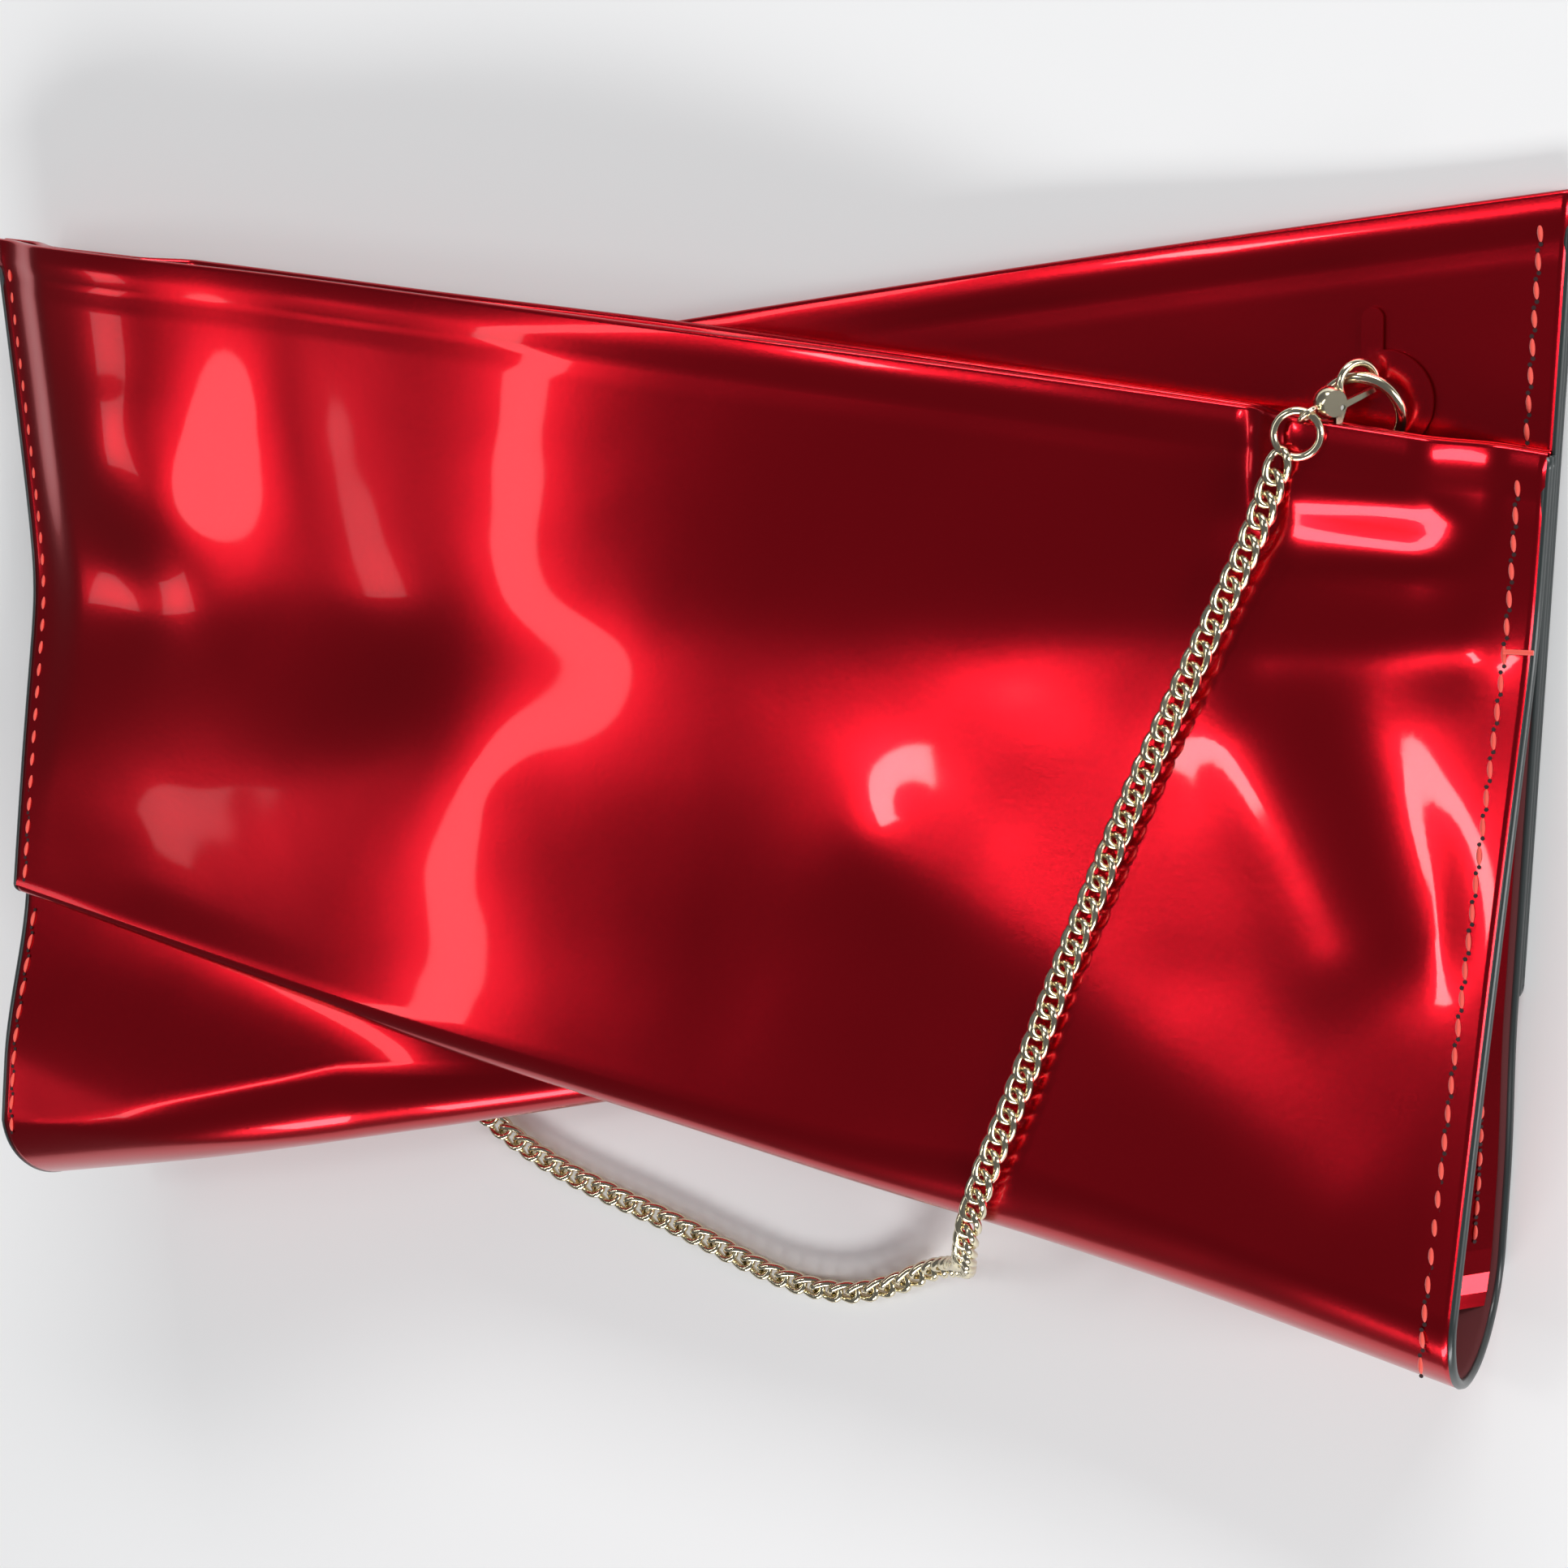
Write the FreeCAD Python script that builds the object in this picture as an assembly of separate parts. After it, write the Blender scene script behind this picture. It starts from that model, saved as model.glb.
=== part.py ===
"""Crossed-pouch clutch purse with a chain strap, lying on its back.

Frame, in millimetres: +X along the purse, +Y towards the mouths, +Z out of the front.
The origin is at the middle of the face that the purse lies on. Heights called v run
from the lower fold, v = 0, to the top, v = HEIGHT. Stations called u run from the
left end, u = -1, to the right end, u = 1. The rear pouch is the front pouch turned
half a turn about the vertical axis, so one profile function serves both.
"""
import FreeCAD, Part
import math
import os

from FreeCAD import Vector

# Driving dimensions
WIDTH = 300.0
HEIGHT = 186.6
TAPER = 8.0                 # each side edge leans in this much from top to bottom
DEPTH = 37.2                # over both pouches, near the bottom
LIP_DROP = 0.21 * HEIGHT    # a pouch's top edge falls this much along the purse
TACK_V = 0.63 * HEIGHT      # below the bar tack the side opens
FOLD_RISE = 0.32 * HEIGHT   # a pouch's fold rises this much along the purse
LIP_CROWN = 2.0
LEG = 3.5                   # one pouch where it is sewn flat
MOUTH_GAPE = 6.2
LEATHER = 1.1
LINING = 0.35
BOARD = 0.5
PLY_GAP = 0.08
POUCH_GAP = 0.35            # between the two pouches
FOLD_V = 16.0               # the fold's rounding is no taller than this
CHAIN_LIFT = 5.4            # the left half lies this high, on the strap

RING_R, RING_WIRE = 6.3, 0.9
RING_X, RING_V = 119.8, 154.3
RING_TILT = 20.0
RING_ROOM = 6.5
SAG_AT_LEFT = 0.95          # the left hardware hangs this much off its panel
CHAPE_R, CHAPE_T = 8.2, 0.8
JUMP_R, JUMP_WIRE = 3.6, 0.65
HOOK_R, HOOK_WIRE = 3.3, 0.65
CLASP_LONG = 9.7            # from the eye's centre to the hook's centre
CHAIN_D = 4.0
REST_Z = 0.04               # the wall is pressed flat where it rests

STITCH, STITCH_PITCH, THREAD = 2.6, 4.3, 0.3

HALF_STATIONS = [0.12, 0.24, 0.36, 0.48, 0.6, 0.7, 0.75, 0.86, 0.93, 1.0]
STATIONS = [-u for u in reversed(HALF_STATIONS)] + [0.0] + HALF_STATIONS
BOARD_STATIONS = STATIONS[5:-5]
LINING_STATIONS = [u for u in STATIONS if -0.9 < u < 0.76] + [0.78]
LEG_STEPS, FOLD_STEPS = 26, 12


def smooth(a, b, t):
    t = min(1.0, max(0.0, (t - a) / (b - a)))
    return t * t * (3 - 2 * t)


def half_width(v):
    return WIDTH / 2 - TAPER * (1 - v / HEIGHT)


def lip(u):
    """Height of the front pouch's top edge; the rear pouch has lip(-u)."""
    return HEIGHT - LIP_DROP * (1 + u) / 2 + LIP_CROWN * (1 - u * u)


def fold(u):
    """Height of the front pouch's lower fold."""
    return FOLD_RISE * (1 - u) / 2


def spread(v):
    """From 0 in the sewn part to 1 at the fold, with a soft start at the tack."""
    s = (TACK_V - v) / (TACK_V - FOLD_V)
    return min(1.0, 0.5 * (s + math.sqrt(s * s + 0.008))) ** 0.85


def ring_room(u, v):
    """Extra room between the pouches where an O-ring is tucked in."""
    off = abs(u) * WIDTH / 2 - RING_X
    near = smooth(-17, -8, off) * smooth(24, 11, off)
    return RING_ROOM * near * smooth(RING_V - 26, RING_V - 10, v)


def own(u, v):
    """Depth of the front pouch alone."""
    s = spread(v)
    gape = MOUTH_GAPE * (1 - u * u) ** 2.2 * (1 - s)
    return LEG + gape + (DEPTH - 2 * LEG) * s * (1 + u) / 2


def between(u, v):
    return POUCH_GAP + ring_room(u, v)


def total(u, v):
    """Depth over both pouches."""
    return own(u, v) + own(-u, v) + between(u, v)


def lift(u):
    return CHAIN_LIFT * smooth(0.06, -0.38, u)


def behind(u, v):
    """Room that the other pouch takes behind the front pouch's inner leg."""
    other = own(-u, v) + between(u, v)
    settled = 1 - smooth(0.05, 0.55, u)
    step = smooth(fold(-u) - 32, fold(-u) - 1, v)
    return other * (settled + (1 - settled) * step)


def outline(u, inset, top_cut=0.0):
    """The front pouch's section at u, from its front lip round the fold to its back lip.

    Each point is (v, z), inset from the outer face; z is above the resting face.
    """
    top = lip(u)
    bend_depth = total(u, fold(u) + FOLD_V / 2) - behind(u, fold(u) + FOLD_V / 2)
    rise = min(FOLD_V, bend_depth / 2)
    start = fold(u) + rise
    front = total(u, start)
    back = behind(u, start)
    legs = [top + (start - top) * k / LEG_STEPS for k in range(LEG_STEPS + 1)]
    raw = [(v, total(u, v)) for v in legs]
    middle, half = (front + back) / 2, (front - back) / 2
    for k in range(1, FOLD_STEPS):
        a = math.pi * k / FOLD_STEPS
        raw.append((start - rise * math.sin(a), middle + half * math.cos(a)))
    raw += [(v, behind(u, v)) for v in reversed(legs)]
    points = []
    for i, (v, z) in enumerate(raw):
        before, after = raw[max(i - 1, 0)], raw[min(i + 1, len(raw) - 1)]
        came, goes = math.dist(before, (v, z)) or 1.0, math.dist((v, z), after) or 1.0
        dv = (v - before[0]) / came + (after[0] - v) / goes
        dz = (z - before[1]) / came + (after[1] - z) / goes
        size = math.hypot(dv, dz)
        points.append((min(v - inset * dz / size, top - top_cut), z + inset * dv / size))
    return points


def place(u, v, z, pouch):
    """A section point in the part's frame; the rear pouch is the front one turned over."""
    if pouch == "rear":
        z = total(u, v) - z
        u = -u
    return Vector(u * half_width(v), v - HEIGHT / 2, z + lift(u))


def smooth_edge(points):
    curve = Part.BSplineCurve()
    curve.interpolate(Points=points, Parameters=[i / (len(points) - 1) for i in range(len(points))])
    return curve.toShape()


def strip_wire(a, b, cuts=()):
    """A closed thin outline between two long edges, each split at the same points."""
    ends = [0, *cuts, len(a) - 1]
    there = [smooth_edge(a[i:j + 1]) for i, j in zip(ends, ends[1:])]
    back = [smooth_edge(b[i:j + 1][::-1]) for i, j in reversed(list(zip(ends, ends[1:])))]
    return Part.Wire(there + [Part.makeLine(a[-1], b[-1])] + back + [Part.makeLine(b[0], a[0])])


def layer(pouch, outer, inner, stations, top_cut):
    """A U-shaped ply between two insets, each a function of u."""
    wires = []
    for u in stations:
        a = [place(u, v, z, pouch) for v, z in outline(u, outer(u), top_cut)]
        b = [place(u, v, z, pouch) for v, z in outline(u, inner(u), top_cut)]
        wires.append(strip_wire(a, b, (LEG_STEPS, LEG_STEPS + FOLD_STEPS)))
    return Part.makeLoft(wires, True, True)


def lining_inset(u):
    return LEATHER + PLY_GAP + (BOARD + PLY_GAP) * smooth(0.86, 0.74, abs(u))


def board(pouch, leg):
    """A stiffener between shell and lining on one leg."""
    first, count = (2, LEG_STEPS - 3) if leg == "outer" else (LEG_STEPS + FOLD_STEPS + 9, LEG_STEPS - 11)
    wires = []
    for u in BOARD_STATIONS:
        rows = []
        for inset in (LEATHER + PLY_GAP, LEATHER + PLY_GAP + BOARD - 0.1):
            part = outline(u, inset)[first:first + count]
            rows.append([place(u, v, z, pouch) for v, z in part])
        wires.append(strip_wire(rows[0], rows[1]))
    return Part.makeLoft(wires, True, True)


def gusset(pouch):
    """The side strip folded inwards across the open end of a pouch, a V in plan."""
    wires = []
    heights = [TACK_V - 8, 100, 85, 72, 62, 58, 54, 50, 46, 40, 30, 22, 16, 12, 9, 7]
    for v in heights:
        u_in = 1.0
        front = total(u_in, max(v, FOLD_V))
        back = behind(u_in, max(v, FOLD_V))
        if v < FOLD_V:
            shrink = math.sqrt(1 - ((FOLD_V - v) / FOLD_V) ** 2)
            mid, half = (front + back) / 2, (front - back) / 2
            front, back = mid + half * shrink, mid - half * shrink
        front, back = front - LEATHER - 0.55, back + LEATHER + 0.55
        mid = (front + back) / 2
        fold_in = 4 + 0.42 * (front - back)
        skin = 0.6
        shape = [(0.992, front, 0), (0.992, mid, fold_in), (0.992, back, 0),
                 (0.992, back + skin, 0), (0.992, mid, fold_in - 1.6 * skin),
                 (0.992, front - skin, 0)]
        points = []
        for u, z, inward in shape:
            p = place(u, v, z, pouch)
            p.x -= inward if pouch == "front" else -inward
            points.append(p)
        wires.append(Part.makePolygon(points + [points[0]]))
    return Part.makeLoft(wires, True, True)


def ring_seat(u, v):
    """Height of the rear pouch's front face, where the right O-ring lies."""
    return own(-u, v)


def turned(shape, pouch_side):
    """Right-hand hardware as it is, or a copy at the left on the back."""
    if pouch_side == "right":
        return shape
    u = RING_X / half_width(RING_V)
    copy = shape.copy()
    copy.rotate(Vector(0, 0, 0), Vector(0, 1, 0), 180)
    copy.translate(Vector(0, 0, total(u, RING_V) + CHAIN_LIFT - SAG_AT_LEFT))
    return copy


def torus(centre, axis, ring_r, wire_r):
    return Part.makeTorus(ring_r, wire_r, centre, axis)


RING_U = RING_X / half_width(RING_V)
SEAT_Z = ring_seat((RING_X - 7) / half_width(RING_V), RING_V) + 0.1
RING_Y = RING_V - HEIGHT / 2
PIVOT = Vector(RING_X, RING_Y - RING_R, SEAT_Z + CHAPE_T + RING_WIRE + 0.3)


def tilt(shape):
    shape.rotate(PIVOT, Vector(1, 0, 0), RING_TILT)
    return shape


def o_ring():
    return tilt(torus(PIVOT + Vector(0, RING_R, 0), Vector(0, 0, 1), RING_R, RING_WIRE))


def chape():
    """Round leather plate with a narrow tongue above it."""
    base = Vector(RING_X + 2.2, RING_Y + 1.2, SEAT_Z)
    plate = Part.makeCylinder(CHAPE_R, CHAPE_T, base)
    tongue = Part.makeBox(3.4, 13.0, CHAPE_T, base + Vector(-3.2, 0, 0))
    end = Part.makeCylinder(1.7, CHAPE_T, base + Vector(-1.5, 13.0, 0))
    return plate.fuse([tongue, end]).removeSplitter()


def ring_loop():
    """Leather strap over the O-ring's lower wire, sewn down on both sides of it."""
    inner, wall, wide = RING_WIRE + 0.45, 0.5, 2.4
    start = PIVOT - Vector(wide / 2, 0, 0)
    tube = Part.makeCylinder(inner + wall, wide, start, Vector(1, 0, 0))
    bore = Part.makeCylinder(inner, wide + 2, start - Vector(1, 0, 0), Vector(1, 0, 0))
    foot_z = SEAT_Z + CHAPE_T + 0.05
    keep = Part.makeBox(20, 20, 20, Vector(RING_X - 10, PIVOT.y - 10, foot_z))
    foot = Part.makeBox(wide, 4.5, 0.7, Vector(start.x, PIVOT.y - inner - 4.3, foot_z))
    return tube.common(keep).fuse(foot).cut(bore).removeSplitter()


RING_TOP = PIVOT + Vector(0, 2 * RING_R * math.cos(math.radians(RING_TILT)),
                          2 * RING_R * math.sin(math.radians(RING_TILT)))
CLASP_X = Vector(0.68, 0.48, -0.73).normalize()
CLASP_Z = Vector(0.65, -0.14, 0.75)
CLASP_Z = (CLASP_Z - CLASP_X * CLASP_X.dot(CLASP_Z)).normalize()
CLASP_Y = CLASP_Z.cross(CLASP_X)
HOOK_AT = RING_TOP - CLASP_X * 0.4 - CLASP_Y * 0.9
PIN_AT = Vector(-4.6, -1.5, 0)
PIN_R = 0.4
GATE_TOE = Vector(2.15, -2.25, 0)
SLOT = 1.5


def to_clasp(shape):
    """From the clasp's own frame, +X along it and its hook's centre at the origin."""
    x, y, z, t = CLASP_X, CLASP_Y, CLASP_Z, HOOK_AT
    shape.Placement = FreeCAD.Placement(FreeCAD.Matrix(
        x.x, y.x, z.x, t.x, x.y, y.y, z.y, t.y, x.z, y.z, z.z, t.z, 0, 0, 0, 1))
    return shape


def clasp_body():
    """Rounded body with the hook and the strap's eye, slotted for the gate."""
    hook = Part.makeTorus(HOOK_R, HOOK_WIRE, Vector(0, 0, 0), Vector(0, 0, 1), -180, 180, 204)
    hook.rotate(Vector(0, 0, 0), Vector(0, 0, 1), -20)
    barrel = Part.makeSphere(2.6, Vector(-5.6, -0.2, 0))
    slab = Part.makeBox(8, 8, 3.1, Vector(-9.0, -4.0, -1.55))
    slot = Part.makeBox(9.0, 4.4, SLOT, Vector(-7.2, -4.6, -SLOT / 2))
    bore = Part.makeCylinder(PIN_R + 0.05, 8, PIN_AT - Vector(0, 0, 4))
    eye = Part.makeTorus(1.6, 0.45, Vector(-CLASP_LONG, 0, 0), Vector(0, 0.8, -0.6))
    body = barrel.common(slab).cut(slot).cut(bore)
    return to_clasp(body.fuse([hook, eye]))


def clasp_lever():
    """Sprung gate that closes the hook, with a thumb tab."""
    rim = [(0, 0.5), (0.9, 0.35), (GATE_TOE.x - PIN_AT.x, GATE_TOE.y - PIN_AT.y + 0.4),
           (GATE_TOE.x - PIN_AT.x + 0.1, GATE_TOE.y - PIN_AT.y - 0.35), (1.2, -0.75),
           (-0.5, -2.6), (-1.5, -2.4), (-0.85, -0.2)]
    points = [PIN_AT + Vector(x, y, 0) for x, y in rim]
    gate = Part.Face(Part.makePolygon(points + [points[0]])).extrude(Vector(0, 0, 0.9))
    gate.translate(Vector(0, 0, -0.45))
    bore = Part.makeCylinder(PIN_R + 0.05, 4, PIN_AT - Vector(0, 0, 2))
    return to_clasp(gate.cut(bore))


def clasp_pin():
    return to_clasp(Part.makeCylinder(PIN_R, 2.4, PIN_AT - Vector(0, 0, 1.2)))


def clasp_spring():
    """Leaf spring that pushes the gate shut, in the body's slot behind the pin."""
    return to_clasp(Part.makeBox(1.5, 0.25, 0.8, PIN_AT + Vector(-2.5, 0.6, -0.4)))


EYE_AT = HOOK_AT - CLASP_X * CLASP_LONG
JUMP_TO = Vector(-0.5, -0.86, 0.06).normalize()
JUMP_AT = EYE_AT + JUMP_TO * (JUMP_R - 0.1)
JUMP_ALONG = Vector(-0.85, 0.5, 0.12)


def jump_ring():
    return torus(JUMP_AT, JUMP_TO.cross(JUMP_ALONG).normalize(), JUMP_R, JUMP_WIRE)


def chain_route():
    """The strap's centreline, from the right jump ring to the left one."""
    return [Vector(*p) for p in CHAIN_POINTS]


CHAIN_POINTS = [
    (109.3, 53.8, 17.8), (105.6, 43.5, 16.6), (99.6, 31.0, 15.8), (93.6, 17.0, 18.5),
    (87.7, 2.0, 22.8), (82.0, -14.0, 27.0), (76.2, -31.0, 31.0), (70.7, -48.4, 34.9),
    (65.8, -61.5, 37.6), (62.0, -72.5, 37.0), (58.6, -81.5, 30.5), (54.0, -87.5, 20.0),
    (48.0, -91.8, 10.0), (40.5, -96.0, 3.6), (31.8, -101.4, 2.05), (22.5, -104.4, 2.05),
    (12.0, -104.0, 2.05), (1.0, -100.8, 2.05), (-12.5, -95.8, 2.05), (-27.0, -91.8, 2.05),
    (-41.5, -87.0, 2.05), (-56.5, -78.6, 2.05), (-70.0, -62.0, 2.05), (-80.0, -42.0, 2.05),
    (-88.5, -21.0, 2.05), (-96.0, 0.0, 2.05), (-101.5, 20.0, 2.05), (-105.6, 39.0, 2.05),
    (-109.4, 53.8, 2.1),
]


def cord(points, thick):
    """A round tube along straight runs joined by tangent arcs as large as they allow."""
    edges, last, radii = [], points[0], []
    for a, p, b in zip(points, points[1:], points[2:]):
        into, out = (p - a), (b - p)
        shorter = min(into.Length, out.Length)
        turn = into.getAngle(out)
        reach = 0.45 * shorter
        radii.append(reach / math.tan(turn / 2))
        into.normalize()
        out.normalize()
        start, end = p - into * reach, p + out * reach
        bulge = (out - into).normalize()
        depth = radii[-1] / math.cos(turn / 2) - radii[-1]
        edges.append(Part.LineSegment(last, start).toShape())
        edges.append(Part.Arc(start, p + bulge * depth, end).toShape())
        last = end
    edges.append(Part.LineSegment(last, points[-1]).toShape())
    path = Part.Wire(edges)
    section = Part.Wire(Part.makeCircle(thick / 2, points[0], points[1] - points[0]))
    tube = path.makePipeShell([section], True, False)
    print("cord length %.1f, volume ratio %.3f" % (
        path.Length, tube.Volume / (path.Length * math.pi * thick ** 2 / 4)))
    print("cord radii", [round(r, 1) for r in radii])
    return tube


def edge_point(v, pouch, depth_in):
    """A point on the outer face, depth_in from the side edge of the open end."""
    u = HALF_STATIONS[-2]       # the face is straight between the last two stations
    part = depth_in / ((1.0 - u) * WIDTH / 2)
    p = place(1.0, v, total(1.0, v) + part * (total(u, v) - total(1.0, v)), pouch)
    p.x -= depth_in if pouch == "front" else -depth_in
    return p


def seam(pouch):
    """The row of stitches beside the side edge, as separate short threads."""
    side = 1 if pouch == "front" else -1
    threads = []
    v = FOLD_V + 2
    while v < lip(1.0) - 4:
        p = edge_point(v, pouch, 4.0)
        q = edge_point(v + STITCH, pouch, 4.0)
        out = Vector(0, 0, side * 0.45)
        if not v - 0.7 < TACK_V < v + STITCH + 0.7:     # the bar tack takes this one's place
            threads.append(Part.makeCylinder(THREAD, (q - p).Length, p + out, q - p))
        v += STITCH_PITCH
    return Part.makeCompound(threads)


def bar_tack(pouch):
    """Thread bar across the side edge where the opening starts."""
    side = 1 if pouch == "front" else -1
    p = edge_point(TACK_V, pouch, 4.2) + Vector(0, 0, side * 0.55)
    return Part.makeCylinder(0.4, 4.6, p, Vector(side, 0, 0))


def build():
    nodes = {}
    for pouch in ("front", "rear"):
        nodes[pouch + "_pouch_shell"] = layer(
            pouch, lambda u: 0.0, lambda u: LEATHER, STATIONS, 0.0).cut(
                Part.makeBox(400, 400, 5, Vector(-200, -200, REST_Z - 5)))
        nodes[pouch + "_pouch_lining"] = layer(
            pouch, lining_inset, lambda u: lining_inset(u) + LINING, LINING_STATIONS, 1.0)
        for leg in ("outer", "inner"):
            nodes["%s_pouch_%s_board" % (pouch, leg)] = board(pouch, leg)
        side = "right" if pouch == "front" else "left"
        nodes[side + "_side_gusset"] = gusset(pouch)
        nodes[side + "_seam_thread"] = seam(pouch)
        nodes[side + "_bar_tack"] = bar_tack(pouch)
    hardware = {"ring_chape": chape, "ring_loop": ring_loop, "o_ring": o_ring,
                "clasp_body": clasp_body, "clasp_lever": clasp_lever, "clasp_pin": clasp_pin,
                "clasp_spring": clasp_spring, "jump_ring": jump_ring}
    for side in ("right", "left"):
        for name, make in hardware.items():
            nodes["%s_%s" % (side, name)] = turned(make(), side)
    nodes["chain_strap"] = cord(chain_route(), CHAIN_D)
    return nodes


def main():
    os.makedirs("parts", exist_ok=True)
    for name, shape in build().items():
        print("%-28s valid %s solids %d volume %.1f" % (
            name, shape.isValid(), len(shape.Solids), shape.Volume))
        shape.exportStep("parts/%s.step" % name)


main()
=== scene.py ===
"""The look of the crossed-pouch clutch purse, on the frame that the model gives."""

import math

import bmesh
import bpy
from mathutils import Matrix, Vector, noise


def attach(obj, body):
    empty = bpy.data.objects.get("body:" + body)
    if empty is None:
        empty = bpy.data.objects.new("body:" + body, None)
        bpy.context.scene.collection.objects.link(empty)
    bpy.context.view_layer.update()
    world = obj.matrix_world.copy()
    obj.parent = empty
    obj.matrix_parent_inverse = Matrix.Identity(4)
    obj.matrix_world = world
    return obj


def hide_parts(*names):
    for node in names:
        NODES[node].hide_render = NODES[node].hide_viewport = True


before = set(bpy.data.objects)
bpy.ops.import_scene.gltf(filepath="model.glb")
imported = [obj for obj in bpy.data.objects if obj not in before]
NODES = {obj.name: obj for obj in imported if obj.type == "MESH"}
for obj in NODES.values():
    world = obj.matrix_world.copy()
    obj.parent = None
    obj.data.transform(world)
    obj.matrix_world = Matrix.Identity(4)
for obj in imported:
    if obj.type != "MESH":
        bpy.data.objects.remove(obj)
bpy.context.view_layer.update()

# Shape, in millimetres, as in the model
WIDTH, HEIGHT, TAPER, DEPTH = 300.0, 186.6, 8.0, 37.2
LIP_DROP, TACK_V, FOLD_RISE = 0.21 * HEIGHT, 0.63 * HEIGHT, 0.32 * HEIGHT
LIP_CROWN, LEG, MOUTH_GAPE = 2.0, 3.5, 6.2
POUCH_GAP, FOLD_V, CHAIN_LIFT = 0.35, 16.0, 5.4
RING_X, RING_V, RING_ROOM = 119.8, 154.3, 6.5
PLY = 1.55                          # the leather with its lining
LEG_STEPS, FOLD_STEPS = 72, 36      # section points on one leg and round the fold
COLUMNS = 150                       # sections along the purse
CAP_STEPS = 4                       # points that round off a lip between its two faces
EDGE_BEAD = 0.86
STITCH, STITCH_PITCH = 2.9, 4.3
FLANGE_STITCH, FLANGE_IN = 2.7, 2.4
MM = 0.001


def smooth(a, b, t):
    """From 0 at a to 1 at b, with soft ends."""
    t = min(1.0, max(0.0, (t - a) / (b - a)))
    return t * t * (3 - 2 * t)


def half_width(v):
    """Half the purse's length at height v."""
    return WIDTH / 2 - TAPER * (1 - v / HEIGHT)


def lip(u):
    """Height of the front pouch's top edge; u runs from -1 to 1 along the purse."""
    return HEIGHT - LIP_DROP * (1 + u) / 2 + LIP_CROWN * (1 - u * u)


def fold(u):
    """Height of the front pouch's fold."""
    return FOLD_RISE * (1 - u) / 2


def spread(v):
    """From 0 in the sewn part to 1 at the fold."""
    s = (TACK_V - v) / (TACK_V - FOLD_V)
    return min(1.0, 0.5 * (s + math.sqrt(s * s + 0.008))) ** 0.85


def between(u, v):
    """Gap between the pouches, with room for the O-rings."""
    off = abs(u) * WIDTH / 2 - RING_X
    near = smooth(-17, -8, off) * smooth(24, 11, off)
    return POUCH_GAP + RING_ROOM * near * smooth(RING_V - 26, RING_V - 10, v)


def own(u, v):
    """Thickness of the front pouch."""
    s = spread(v)
    gape = MOUTH_GAPE * (1 - u * u) ** 2.2 * (1 - s)
    return LEG + gape + (DEPTH - 2 * LEG) * s * (1 + u) / 2


def total(u, v):
    """Height of the front face over the back one."""
    return own(u, v) + own(-u, v) + between(u, v)


def lift(u):
    """How far the purse lies up on the chain that runs under it."""
    return CHAIN_LIFT * smooth(0.06, -0.38, u)


def behind(u, v):
    """Height of the front pouch's own back face."""
    settled = 1 - smooth(0.05, 0.55, u)
    step = smooth(fold(-u) - 32, fold(-u) - 1, v)
    return (own(-u, v) + between(u, v)) * (settled + (1 - settled) * step)


def profile(u):
    """The front pouch's section, from its front lip round the fold, with unit normals."""
    top = lip(u)
    bend = total(u, fold(u) + FOLD_V / 2) - behind(u, fold(u) + FOLD_V / 2)
    rise = min(FOLD_V, bend / 2)
    start = fold(u) + rise
    front, back = total(u, start), behind(u, start)
    legs = [top + (start - top) * k / LEG_STEPS for k in range(LEG_STEPS + 1)]
    raw = [(v, total(u, v)) for v in legs]
    for k in range(1, FOLD_STEPS):
        a = math.pi * k / FOLD_STEPS
        raw.append((start - rise * math.sin(a),
                    (front + back) / 2 + (front - back) / 2 * math.cos(a)))
    raw += [(v, behind(u, v)) for v in reversed(legs)]
    out = []
    for i, (v, z) in enumerate(raw):
        a, b = raw[max(i - 1, 0)], raw[min(i + 1, len(raw) - 1)]
        came, goes = math.dist(a, (v, z)) or 1.0, math.dist((v, z), b) or 1.0
        dv = (v - a[0]) / came + (b[0] - v) / goes
        dz = (z - a[1]) / came + (b[1] - z) / goes
        size = math.hypot(dv, dz)
        out.append((v, z, -dz / size, dv / size))
    return out


def place(u, v, z, pouch):
    """A section point in the model's frame; the rear pouch is the front one turned round."""
    if pouch == "rear":
        z = total(u, v) - z
        u = -u
    return Vector((u * half_width(v), v - HEIGHT / 2, z + lift(u)))


# Materials
def material(name, color, metallic=0.0, roughness=0.5, coat=0.0, grain=(), sheen=0.0):
    """A glossy or matte material; grain lists (noise scale, bump height in metres)."""
    m = bpy.data.materials.new(name)
    m.use_nodes = True
    tree = m.node_tree
    surface = tree.nodes["Principled BSDF"]
    surface.inputs["Base Color"].default_value = (*color, 1)
    surface.inputs["Metallic"].default_value = metallic
    surface.inputs["Roughness"].default_value = roughness
    surface.inputs["Coat Weight"].default_value = coat
    surface.inputs["Coat Roughness"].default_value = 0.04
    surface.inputs["Sheen Weight"].default_value = sheen
    last = None
    for scale, height in grain:
        texture = tree.nodes.new("ShaderNodeTexNoise")
        texture.inputs["Scale"].default_value = scale
        texture.inputs["Detail"].default_value = 2.0
        bump = tree.nodes.new("ShaderNodeBump")
        bump.inputs["Distance"].default_value = height
        bump.inputs["Strength"].default_value = 1.0
        where = tree.nodes.new("ShaderNodeTexCoord")
        tree.links.new(where.outputs["Object"], texture.inputs["Vector"])
        tree.links.new(texture.outputs["Fac"], bump.inputs["Height"])
        if last:
            tree.links.new(last.outputs["Normal"], bump.inputs["Normal"])
        last = bump
    if last:
        tree.links.new(last.outputs["Normal"], surface.inputs["Normal"])
    return m


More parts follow.
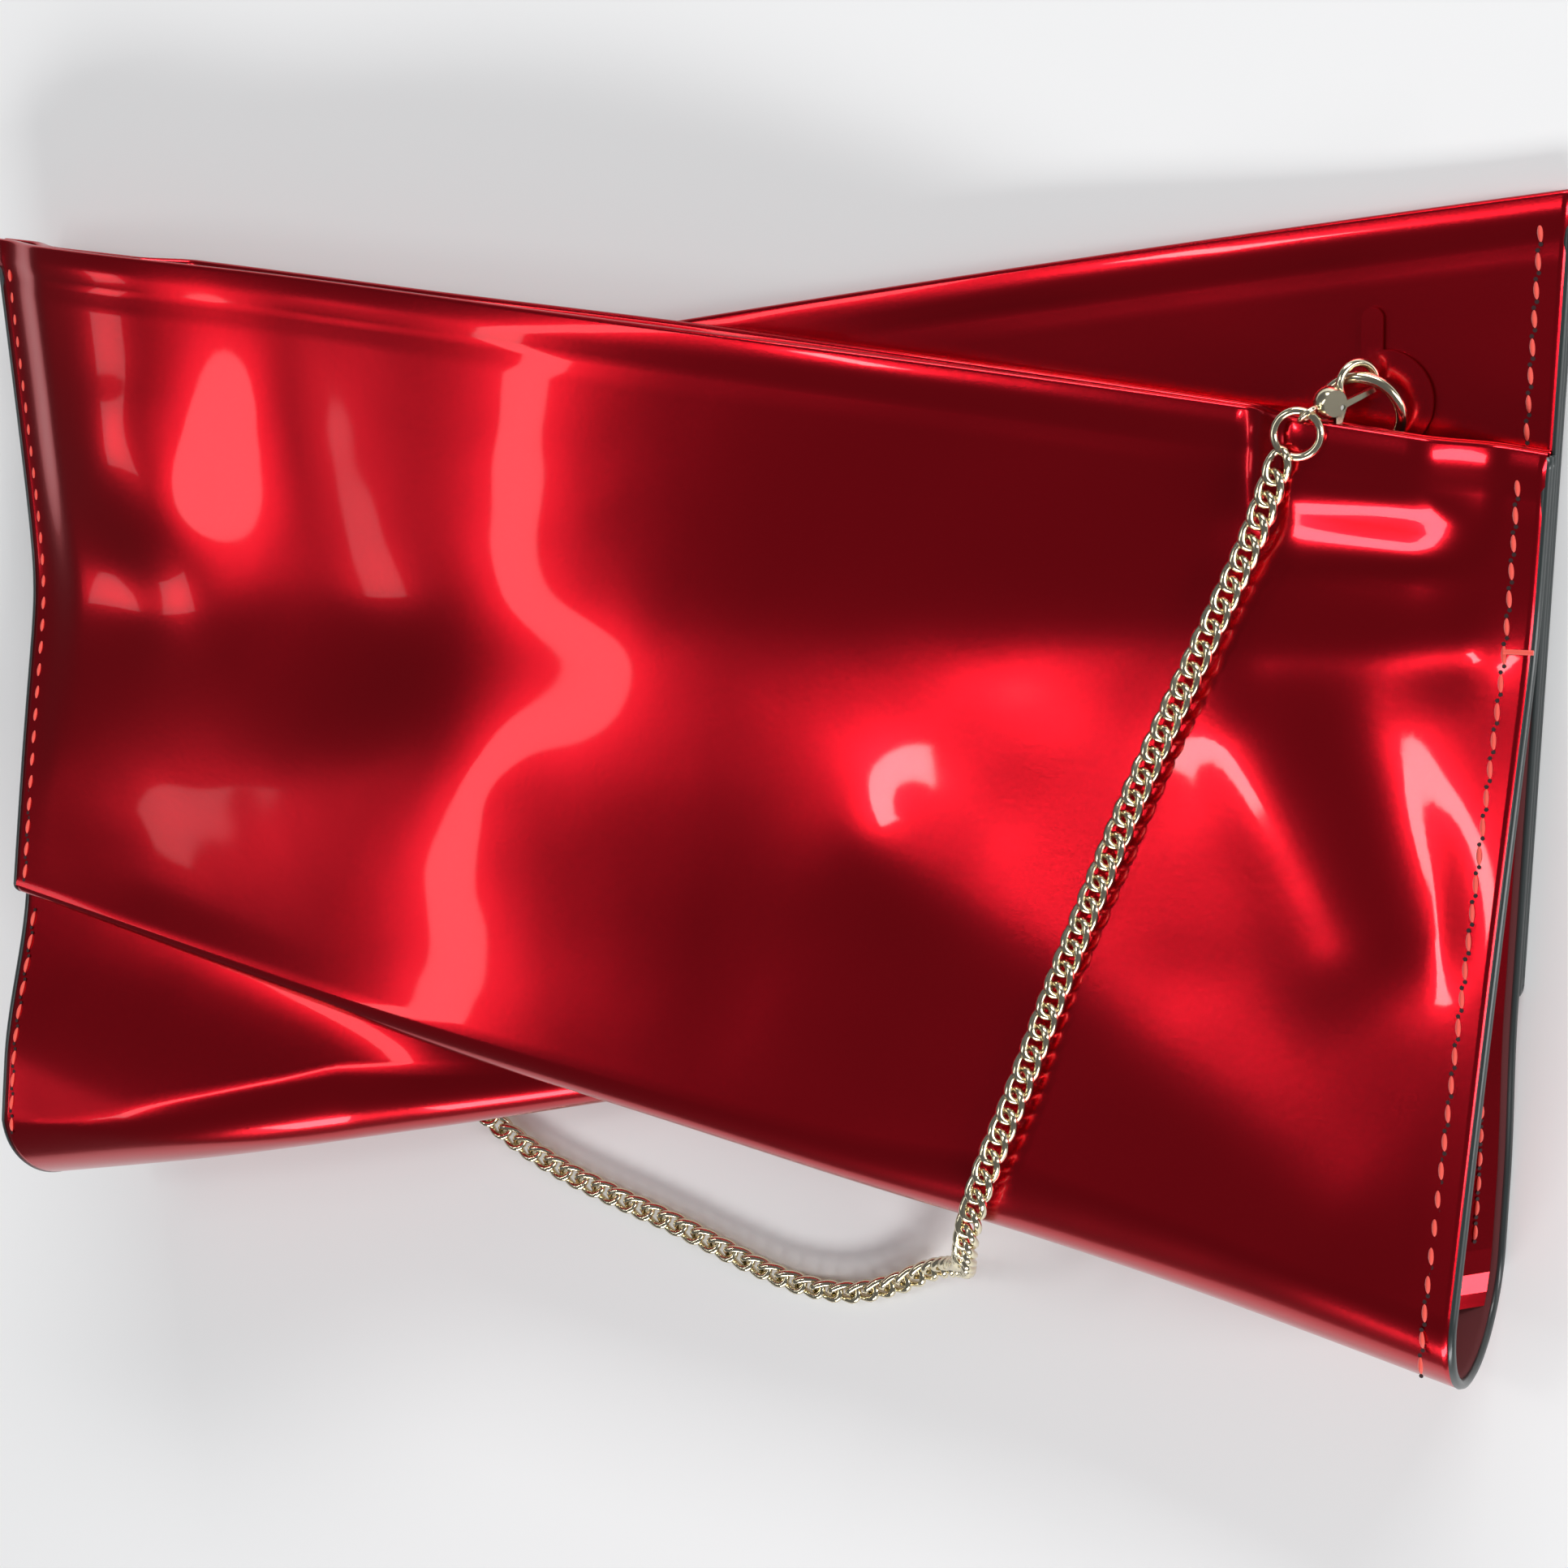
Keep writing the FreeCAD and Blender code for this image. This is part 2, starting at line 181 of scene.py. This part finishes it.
PATENT = material("red patent leather", (0.46, 0.002, 0.010), 0.9, 0.22, 0.25,
                  ((30, 0.00012), (900, 0.000006)))
LINING = material("lining", (0.10, 0.012, 0.014), 0.0, 0.8)
EDGE = material("charcoal edge paint", (0.022, 0.03, 0.03), 0.0, 0.35, 0.2)
THREAD = material("coral thread", (0.9, 0.09, 0.06), 0.0, 0.55, sheen=0.3)
# Near-black colour of flat discs that paint the shade inside the stitch holes
HOLE_SHADE = material("painted shade of stitch hole", (0.02, 0.001, 0.002), 0.0, 0.6)
GOLD = material("pale gold metal", (0.80, 0.72, 0.52), 1.0, 0.17)
STEEL = material("spring steel", (0.6, 0.6, 0.58), 1.0, 0.3)
FLOOR = material("pale floor", (0.9, 0.9, 0.9), 0.0, 0.6)


def mesh(name, points, faces, mats, slots=None):
    """A smooth mesh piece on the bag, from points in millimetres."""
    name = name.replace(" ", "_")
    data = bpy.data.meshes.new(name)
    data.from_pydata([p * MM for p in points], [], faces)
    for m in mats:
        data.materials.append(m)
    for i, p in enumerate(data.polygons):
        p.use_smooth = True
        if slots:
            p.material_index = slots[i]
    data.update()
    o = bpy.data.objects.new(name, data)
    bpy.context.scene.collection.objects.link(o)
    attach(o, "bag")
    return o


# Soft shape of the leather: height, start, end and width of each long ridge (+) or dent (-)
RIPPLES = [
    (1.0, (-135, -5), (-40, 4), 17), (1.1, (-40, 4), (40, -12), 17),
    (1.25, (40, -12), (122, -62), 13), (-0.7, (20, -42), (100, -78), 12),
    (-0.9, (-110, -30), (10, -34), 15),
    (0.9, (-120, 52), (-112, 46), 13), (0.8, (-98, 25), (-92, 18), 15),
    (-0.7, (-120, 30), (-118, 24), 10), (-0.6, (-80, 60), (-60, 20), 14),
    (-0.9, (98, 46), (128, 38), 5.5), (-0.7, (105, 20), (138, 24), 6),
    (0.8, (104, 8), (120, -22), 9), (-0.8, (122, 12), (136, -20), 8),
]
def along(x, y, start, end, wide):
    """1 on the line from start to end, falling off over wide."""
    (ax, ay), (bx, by) = start, end
    dx, dy = bx - ax, by - ay
    t = max(0.0, min(1.0, ((x - ax) * dx + (y - ay) * dy) / (dx * dx + dy * dy)))
    return math.exp(-(((x - ax - t * dx) ** 2 + (y - ay - t * dy) ** 2) / wide ** 2))


def relief(x, y):
    """Height of the front leather over its plain shape."""
    d = 0.0
    for height, start, end, wide in RIPPLES:
        d += height * along(x, y, start, end, wide)
    d += 0.25 * noise.noise(Vector((x / 34, y / 26, 3.1)))
    d += 0.03 * noise.noise(Vector((x / 11, y / 10, 7.7)))
    return d


def shown_part(pouch, u, v):
    """1 where a pouch's leather lies open to view, 0 where the other pouch covers it."""
    if pouch == "front":
        return smooth(fold(u) - 1, fold(u) + 12, v)
    over = smooth(lip(-u) + 1, lip(-u) + 9, v)
    under = smooth(fold(-u) - 2, fold(-u) - 12, v)
    return max(over, under) * smooth(fold(u) + 2, fold(u) + 14, v)


def swelling(u, v, i):
    """How far the front pouch's skin differs from the plain section: a soft swelling over the
    left O-ring in place of its step, and a gentler rise onto the chain."""
    rise = 0.0
    if u < 0:
        off = -u * WIDTH / 2 - RING_X
        soft = 1.05 * math.exp(-(off / 34) ** 2) * smooth(RING_V - 82, RING_V + 4, v)
        soft *= smooth(1.0, 0.9, -u) if off > 0 else 1.0
        rise += RING_ROOM * soft - (between(u, v) - POUCH_GAP)
    turned = math.pi * max(i - LEG_STEPS, 0) / FOLD_STEPS
    rise += (CHAIN_LIFT * smooth(0.45, -0.5, u) - lift(u)) * (1 + math.cos(turned)) / 2
    return rise


def cap(a, b):
    """Points that round off a lip from a to b."""
    out = []
    for k in range(1, CAP_STEPS + 1):
        turn = math.pi * k / (CAP_STEPS + 1)
        out.append((a + b) / 2 + (a - b) / 2 * math.cos(turn) + Vector((0, 0.8 * math.sin(turn), 0)))
    return out


def skin_ring(pouch, u, section):
    """One closed section of the leather: outer face, lip, inner face, lip."""
    outer, inner = [
        [place(u, min(v + nv * depth, lip(u)), z + nz * depth, pouch) for v, z, nv, nz in section]
        for depth in (0.0, PLY)]
    last = len(section)
    for i, (v, z, nv, nz) in enumerate(section):
        faces_front = i <= LEG_STEPS + FOLD_STEPS if pouch == "front" else i > last - LEG_STEPS - 4
        if not faces_front:
            continue
        if pouch == "front":
            up = Vector((0, 0, swelling(u, v, i)))
            outer[i] = outer[i] + up
            inner[i] = inner[i] + up
        shown = shown_part(pouch, u, v)
        edge = smooth(1.0, 0.93, abs(u)) * smooth(lip(u) + 1, lip(u) - 10, v)
        below_lip = lip(u) - v
        rise = 0.75 * relief(outer[i].x, outer[i].y) * shown * edge
        rise += 0.35 * shown * math.exp(-((below_lip - 3.0) / 1.6) ** 2)
        rise -= 0.30 * shown * math.exp(-((below_lip - 6.2) / 1.2) ** 2)
        outer[i] = outer[i] + Vector((0, 0, rise))
        inner[i] = inner[i] + Vector((0, 0, max(rise, -0.4)))
    return outer + cap(outer[-1], inner[-1]) + inner[::-1] + cap(inner[0], outer[0])


def skin(pouch):
    """A pouch's leather with its dark inner side and its two painted ends."""
    points, faces, slots = [], [], []
    for k in range(COLUMNS + 1):
        u = -math.cos(math.pi * k / COLUMNS) * 0.35 + 0.65 * (2 * k / COLUMNS - 1)
        section = profile(u)
        ring = skin_ring(pouch, u, section)
        points += ring
    n, rows = len(section), len(ring)
    for j in range(COLUMNS):
        for i in range(rows):
            k = (i + 1) % rows
            a, b = j * rows, (j + 1) * rows
            face = (a + i, a + k, b + k, b + i)
            faces.append(face if pouch == "rear" else face[::-1])
            slots.append(1 if n + 10 < i < rows - 12 else 0)
    for j in (0, COLUMNS):
        a = j * rows
        back = a + 2 * n + CAP_STEPS - 1        # the inner face's point beside outer point 0
        for i in range(n - 1):
            faces.append((a + i, a + i + 1, back - i - 1, back - i))
            slots.append(2)
    o = mesh(pouch + " pouch leather", points, faces, [PATENT, LINING, EDGE], slots)
    b = bmesh.new()
    b.from_mesh(o.data)
    bmesh.ops.recalc_face_normals(b, faces=b.faces)
    b.to_mesh(o.data)
    b.free()
    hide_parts(*[pouch + "_pouch_" + k for k in ("shell", "lining", "outer_board", "inner_board")])


def sweep(name, path, radius, mats, sides):
    """A round tube along points."""
    n = len(path)
    points, faces = [], []
    normal = Vector((0, 0, 1))
    for i, p in enumerate(path):
        t = (path[min(i + 1, n - 1)] - path[max(i - 1, 0)]).normalized()
        if abs(t.dot(normal)) > 0.97:
            normal = Vector((0, 1, 0)) if abs(t.y) < 0.9 else Vector((1, 0, 0))
        normal = (normal - t * t.dot(normal)).normalized()
        side = t.cross(normal)
        for k in range(sides):
            a = 2 * math.pi * k / sides
            points.append(p + (normal * math.cos(a) + side * math.sin(a)) * radius)
    for i in range(n - 1):
        for k in range(sides):
            a, b = i * sides, (i + 1) * sides
            faces.append((a + k, a + (k + 1) % sides, b + (k + 1) % sides, b + k))
    faces.append(tuple(range(sides))[::-1])
    faces.append(tuple(range((n - 1) * sides, n * sides)))
    return mesh(name, points, faces, mats)


for pouch in ("front", "rear"):
    skin(pouch)
    for end in (-1.0, 1.0):
        sec = profile(end)
        line = [place(end, min(v + nv * PLY / 2, lip(end)), z + nz * PLY / 2, pouch)
                for v, z, nv, nz in sec]
        bead = sweep("%s pouch edge %d" % (pouch, end), line, EDGE_BEAD, [EDGE], sides=8)


# Stitches
def stitches(name, pairs, mats):
    """Short threads lying on the leather, each with a dark disc of painted shade for the hole at its
    ends.
    """
    steps, around, hole_sides = 6, 6, 8
    wide, high, hole = 0.42, 0.36, 0.36
    points, faces, slots = [], [], []
    for p, q, up in pairs:
        t = (q - p).normalized()
        side = t.cross(up).normalized()
        long = (q - p).length
        base = len(points)
        for i in range(steps + 1):
            s = i / steps
            arch = math.sin(math.pi * s) ** 0.5
            for k in range(around):
                a = 2 * math.pi * k / around
                d = side * math.cos(a) * wide + up * math.sin(a) * high
                points.append(p + t * long * s + d * max(arch, 0.25) + up * (0.26 * arch - 0.12))
        for i in range(steps):
            for k in range(around):
                a, b = base + i * around, base + (i + 1) * around
                faces.append((a + k, a + (k + 1) % around, b + (k + 1) % around, b + k))
                slots.append(0)
        # A flat dark disc of painted shade at each end, where the thread goes into its hole
        for c in (p - t * 0.25, q + t * 0.25):
            base = len(points)
            for k in range(hole_sides):
                a = 2 * math.pi * k / hole_sides
                points.append(c + (side * math.cos(a) + t * math.sin(a)) * hole + up * 0.05)
            faces.append(tuple(range(base, base + hole_sides)))
            slots.append(1)
    o = mesh(name, points, faces, mats, slots)
    return o


def face_row(pouch, u, depth, start, stop, leg="outer", slant=0.35):
    """Stitches beside the side edge at u, on the face of one leg."""
    pairs, v = [], start
    while v < stop:
        ends = []
        for w, shift in ((v, 0.0), (v + STITCH, slant)):
            z = total(u, w) if leg == "outer" else behind(u, w)
            p = place(u, w, z, pouch)
            inward = -1 if p.x > 0 else 1
            p.x += inward * (depth + shift)
            ends.append(p)
        up = Vector((0, 0, 1 if (leg == "outer") == (pouch == "front") else -1))
        t = (ends[1] - ends[0]).normalized()
        up = (up - t * t.dot(up)).normalized()
        pairs.append((ends[0], ends[1], up))
        v += STITCH_PITCH
    return pairs


SEAMS = {
    "right front seam": (face_row("front", 1.0, 4.0, 8.0, lip(1.0) - 4), "right_seam_thread"),
    "left back seam": (face_row("rear", 1.0, 4.0, 8.0, lip(1.0) - 4), "left_seam_thread"),
    "left front seam": (face_row("front", -1.0, 2.2, fold(-1) + 3, lip(-1.0) - 4), None),
    "right back seam": (face_row("rear", -1.0, 2.2, fold(-1) + 3, lip(-1.0) - 4), None),
    "upper right seam": (face_row("rear", -1.0, 4.0, lip(1.0) + 2, lip(-1.0) - 4, "inner"), None),
    "upper left seam": (face_row("front", -1.0, 4.0, lip(1.0) + 2, lip(-1.0) - 4, "inner"), None),
    "lower left seam": (face_row("rear", 1.0, 1.8, 14.0, fold(-1) - 4, "inner"), None),
    "lower right seam": (face_row("front", 1.0, 1.8, 14.0, fold(-1) - 4, "inner"), None),
}
for name, (pairs, node) in SEAMS.items():
    o = stitches(name, pairs, [THREAD, HOLE_SHADE])
    if node:
        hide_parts(node)


def flange_row(pouch):
    """Stitches on the gusset's rear flange, seen in the recess."""
    pairs, v = [], 18.0
    sign = 1 if pouch == "front" else -1
    while v < TACK_V - 12:
        ends = []
        for w in (v, v + FLANGE_STITCH):
            front, back = total(1.0, w) - PLY - 0.3, behind(1.0, w) + PLY + 0.3
            run = 4 + 0.42 * (front - back)
            z = back + (front - back) / 2 * (FLANGE_IN / run) + 0.75
            p = place(0.992, w, z, pouch)
            p.x -= sign * FLANGE_IN
            ends.append(p)
        up = Vector((0.7 * sign, 0, 0.7 if pouch == "front" else -0.7))
        pairs.append((ends[0], ends[1], up.normalized()))
        v += STITCH_PITCH
    return pairs


for pouch, side in (("front", "right"), ("rear", "left")):
    stitches(side + " gusset seam", flange_row(pouch), [THREAD, HOLE_SHADE])


# Chain
ROUTE = [
    (109.3, 53.8, 17.8), (105.6, 43.5, 16.6), (99.6, 31.0, 15.8), (93.6, 17.0, 18.5),
    (87.7, 2.0, 22.8), (82.0, -14.0, 27.0), (76.2, -31.0, 31.0), (70.7, -48.4, 34.9),
    (65.8, -61.5, 37.6), (62.0, -72.5, 37.0), (58.6, -81.5, 30.5), (54.0, -87.5, 20.0),
    (48.0, -91.8, 10.0), (40.5, -96.0, 3.6), (31.8, -101.4, 2.05), (22.5, -104.4, 2.05),
    (12.0, -104.0, 2.05), (1.0, -100.8, 2.05), (-12.5, -95.8, 2.05), (-27.0, -91.8, 2.05),
    (-41.5, -87.0, 2.05), (-56.5, -78.6, 2.05), (-70.0, -62.0, 2.05), (-80.0, -42.0, 2.05),
    (-88.5, -21.0, 2.05), (-96.0, 0.0, 2.05), (-101.5, 20.0, 2.05), (-105.6, 39.0, 2.05),
    (-109.4, 53.8, 2.1),
]


def centreline():
    """Points along the spline that the strap follows, in millimetres."""
    data = bpy.data.curves.new("strap line", "CURVE")
    data.dimensions = "3D"
    s = data.splines.new("NURBS")
    s.points.add(len(ROUTE) - 1)
    for point, (x, y, z) in zip(s.points, ROUTE):
        point.co = (x * MM, y * MM, z * MM, 1)
    s.order_u = 3
    s.use_endpoint_u = True
    data.resolution_u = 24
    o = bpy.data.objects.new("strap line", data)
    bpy.context.scene.collection.objects.link(o)
    flat = bpy.data.meshes.new_from_object(o)
    line = [v.co / MM for v in flat.vertices]
    bpy.data.objects.remove(o)
    bpy.data.meshes.remove(flat)
    return line


LINE = centreline()
DIST = [0.0]
for a, b in zip(LINE, LINE[1:]):
    DIST.append(DIST[-1] + (b - a).length)
LENGTH = DIST[-1]


def at(s):
    """The point on the strap's line at distance s."""
    s = min(max(s, 0.0), LENGTH)
    lo, hi = 0, len(DIST) - 1
    while hi - lo > 1:
        mid = (lo + hi) // 2
        if DIST[mid] <= s:
            lo = mid
        else:
            hi = mid
    t = (s - DIST[lo]) / (DIST[hi] - DIST[lo])
    return LINE[lo].lerp(LINE[hi], t)


def chain():
    """A flat curb chain: twisted links of one size along the strap's line."""
    pitch, wide, wire, twist = 3.75, 4.9, 0.68, 0.62
    around, sides = 22, 8               # points round a link, and round its wire
    lies_flat = (188, 250)              # where the chain turns to lie flat on the floor
    count = int((LENGTH - 1.0) / pitch)
    pitch = (LENGTH - 1.0) / count
    reach = pitch / 2 + wire + 0.25
    points, faces = [], []
    up = Vector((0, 0.2, 1)).normalized()
    for n in range(count + 1):
        s = 0.5 + n * pitch
        c = at(s)
        t = (at(s + 1.0) - at(s - 1.0)).normalized()
        up = (up - t * t.dot(up)).normalized()
        down = smooth(*lies_flat, s)
        flat = up * (1 - down) + Vector((0, 0, 1)) * down
        flat = (flat - t * t.dot(flat)).normalized()
        sway = 0.10 * noise.noise(Vector((s / 9, 1.7, 0)))
        flat = (flat + t.cross(flat) * sway).normalized()
        side = t.cross(flat)
        loop = []
        for k in range(around):
            a = 2 * math.pi * k / around
            x = reach * math.cos(a)
            y = (wide / 2 - wire) * math.sin(a)
            z = twist * math.sin(2 * a)
            loop.append(c + t * x + side * y + flat * z)
        base = len(points)
        for k, p in enumerate(loop):
            along_wire = (loop[(k + 1) % around] - loop[k - 1]).normalized()
            outward = p - c
            outward = (outward - along_wire * along_wire.dot(outward)).normalized()
            across = along_wire.cross(outward)
            for j in range(sides):
                b = 2 * math.pi * j / sides
                points.append(p + (outward * math.cos(b) + across * math.sin(b)) * wire)
        for k in range(around):
            a, b = base + k * sides, base + ((k + 1) % around) * sides
            for j in range(sides):
                faces.append((a + j, b + j, b + (j + 1) % sides, a + (j + 1) % sides))
    return mesh("chain strap links", points, faces, [GOLD])


strap = chain()
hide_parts("chain_strap")


# Hardware
def dress(name, mat, bevel=0.0):
    """A new material, and softened edges, on a piece of the model."""
    o = NODES[name]
    o.data.materials.clear()
    o.data.materials.append(mat)
    for p in o.data.polygons:
        p.material_index = 0
    if bevel:
        m = o.modifiers.new("edge", "BEVEL")
        m.width = bevel * MM
        m.segments = 2
        m.limit_method = "ANGLE"
        m.angle_limit = math.radians(40)


for side in ("right", "left"):
    dress(side + "_side_gusset", PATENT)
    dress(side + "_bar_tack", THREAD)
    dress(side + "_ring_chape", PATENT, 0.2)
    dress(side + "_ring_loop", PATENT, 0.12)
    for part in ("o_ring", "jump_ring"):
        dress(side + "_" + part, GOLD)
        for p in NODES[side + "_" + part].data.polygons:
            p.use_smooth = True
    dress(side + "_clasp_body", GOLD, 0.15)
    dress(side + "_clasp_lever", GOLD, 0.2)
    dress(side + "_clasp_pin", STEEL)
    dress(side + "_clasp_spring", STEEL)

# Floor, light and camera
bpy.ops.mesh.primitive_plane_add(size=8, location=(0, 0, -0.0002))
ground = bpy.context.object
ground.name = "floor"
ground.data.materials.append(FLOOR)


def lamp(name, place_at, target, wide, high, power):
    """A rectangular lamp that faces its target, in metres and watts."""
    data = bpy.data.lights.new(name, "AREA")
    data.shape = "RECTANGLE"
    data.size, data.size_y = wide, high
    data.energy = power
    o = bpy.data.objects.new(name, data)
    o.location = place_at
    o.rotation_euler = (Vector(target) - Vector(place_at)).to_track_quat("-Z", "Y").to_euler()
    bpy.context.scene.collection.objects.link(o)


lamp("long_strip", (-0.55, 0.15, 1.0), (-0.50, 0.12, 0), 1.0, 0.09, 1.9)
lamp("small_box", (-0.13, 0.32, 1.0), (0.1, 0, 0), 0.05, 0.12, 0.55)
lamp("left_box", (-1.15, -0.06, 0.95), (-0.1, 0, 0), 0.22, 0.22, 0.5)
lamp("front_fill", (0.25, -1.3, 0.7), (0, 0, 0), 1.2, 0.3, 15)
lamp("back_fill", (0.3, 1.4, 0.7), (0, 0, 0), 1.2, 0.3, 15)
lamp("right_fill", (1.5, 0.1, 0.7), (0, 0, 0), 0.3, 1.0, 11)

world = bpy.data.worlds.new("studio")
world.use_nodes = True
world.node_tree.nodes["Background"].inputs["Color"].default_value = (0.9, 0.93, 1.0, 1)
world.node_tree.nodes["Background"].inputs["Strength"].default_value = 0.13
bpy.context.scene.world = world

cam = bpy.data.objects.new("camera", bpy.data.cameras.new("camera"))
cam.data.lens = 62.07
cam.data.sensor_width = 36
cam.location = (0.22867, 0.09806, 0.42913)
cam.rotation_euler = [math.radians(a) for a in (-13.39, 26.32, -2.23)]
cam.data.clip_start = 0.01
bpy.context.scene.collection.objects.link(cam)
bpy.context.scene.camera = cam
bpy.context.scene.view_settings.view_transform = "Standard"
